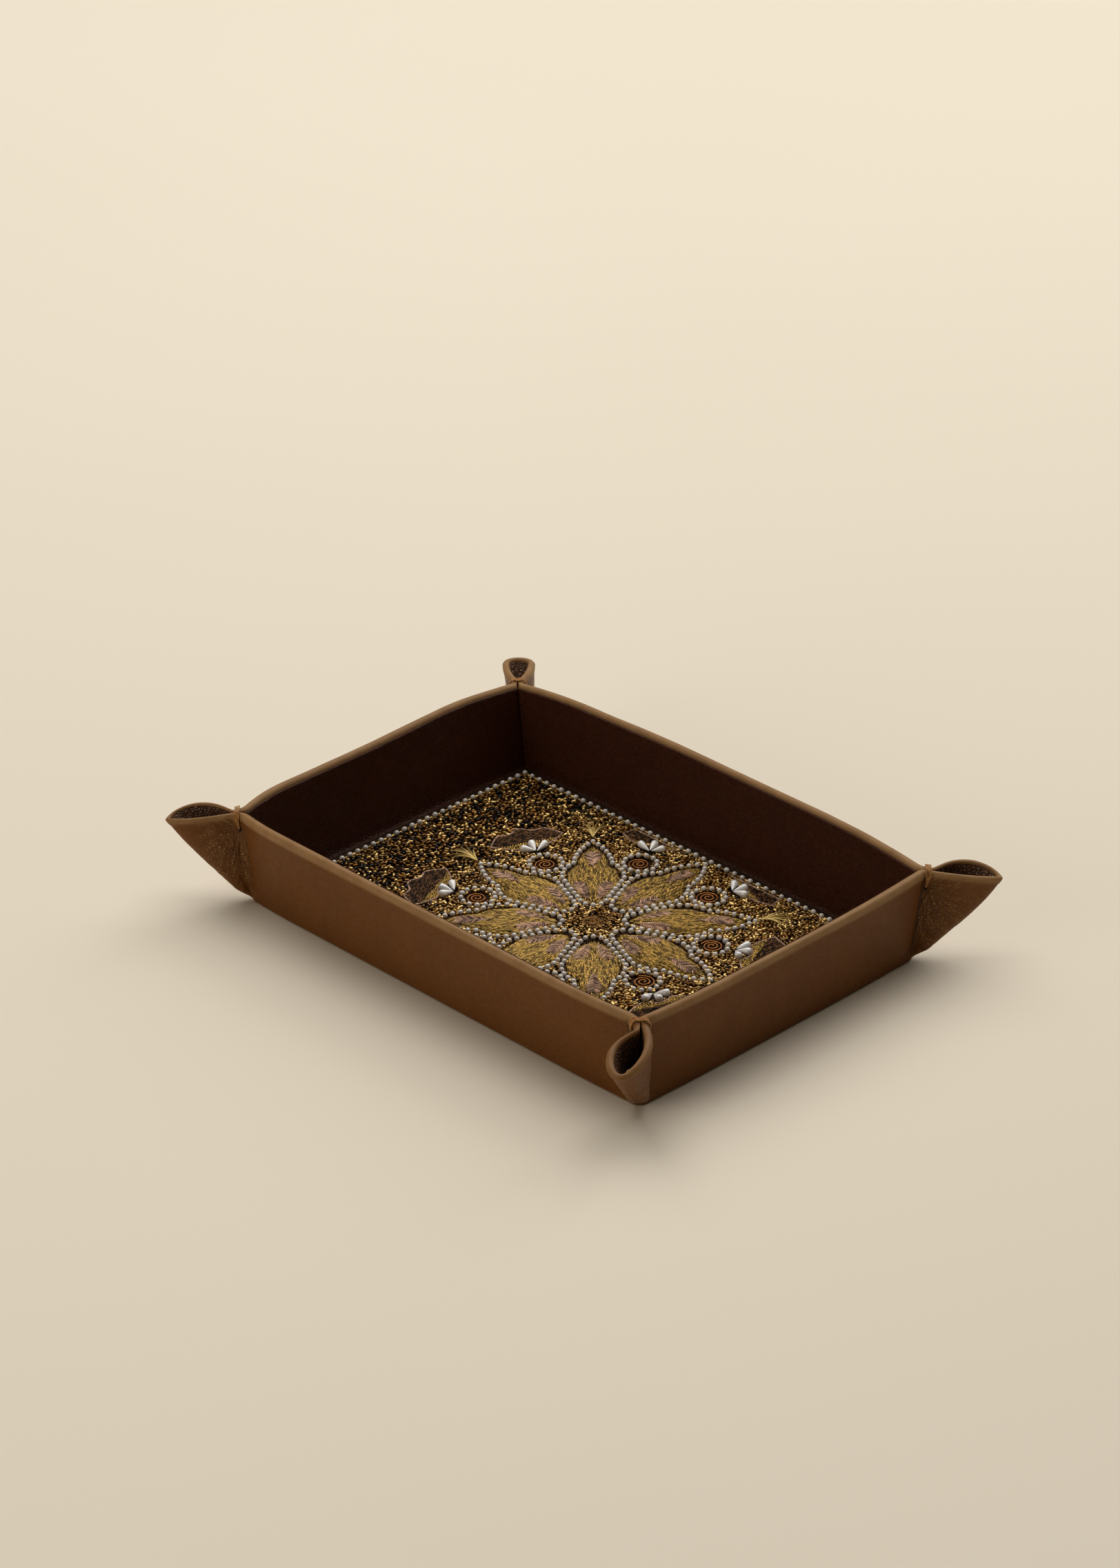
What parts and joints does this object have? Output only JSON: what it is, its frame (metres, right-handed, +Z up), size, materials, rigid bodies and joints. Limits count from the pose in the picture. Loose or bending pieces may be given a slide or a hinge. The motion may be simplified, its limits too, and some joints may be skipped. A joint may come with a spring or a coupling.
{
  "type": "valet tray",
  "caption": "Shallow rectangular leather tray for small things, with pinched, thread-sewn corner ears and a bead and pearl embroidered floor panel.",
  "frame": {"origin": "under the middle of the base, on the surface that the tray stands on", "axes": "+X along the longer side, +Y along the shorter side, +Z up"},
  "size_m": [0.249, 0.189, 0.0386],
  "materials": {
    "cover_leather": "smooth brown leather, pebbled on the ears",
    "lining_leather": "fine-grained dark brown leather",
    "board": "grey board",
    "ground_cloth": "dark woven ground cloth",
    "beads": "gold, amber and black glass beads",
    "pearl": "silvery pearl",
    "drop_pearl": "white pearl",
    "gold_thread": "metallic gold thread",
    "rose_thread": "copper pink thread",
    "dark_thread": "dark brown thread",
    "copper_wire": "coiled copper wire",
    "gilt_wire": "bright gilt wire",
    "sewing_thread": "waxed tan thread"
  },
  "bodies": {
    "root": {"back_board": "board", "back_cover": "cover_leather", "back_lining": "lining_leather", "base_board": "board", "base_cover": "cover_leather", "base_lining": "lining_leather", "bead_field": "beads", "border_pearls": "pearl", "centre_patch": "dark_thread", "corner_stitch_back_left": "sewing_thread", "corner_stitch_back_right": "sewing_thread", "corner_stitch_front_left": "sewing_thread", "corner_stitch_front_right": "sewing_thread", "drop_pearls": "drop_pearl", "ear_back_left": "cover_leather", "ear_back_right": "cover_leather", "ear_front_left": "cover_leather", "ear_front_right": "cover_leather", "ear_lining_back_left": "lining_leather", "ear_lining_back_right": "lining_leather", "ear_lining_front_left": "lining_leather", "ear_lining_front_right": "lining_leather", "front_board": "board", "front_cover": "cover_leather", "front_lining": "lining_leather", "gilt_fans": "gilt_wire", "gold_petals": "gold_thread", "ground_cloth": "ground_cloth", "insert_board": "board", "leaf_patches": "dark_thread", "left_board": "board", "left_cover": "cover_leather", "left_lining": "lining_leather", "petal_pearls": "pearl", "petal_sprigs": "rose_thread", "right_board": "board", "right_cover": "cover_leather", "right_lining": "lining_leather", "ring_pearls": "pearl", "wire_spirals": "copper_wire"}
  },
  "joints": []
}
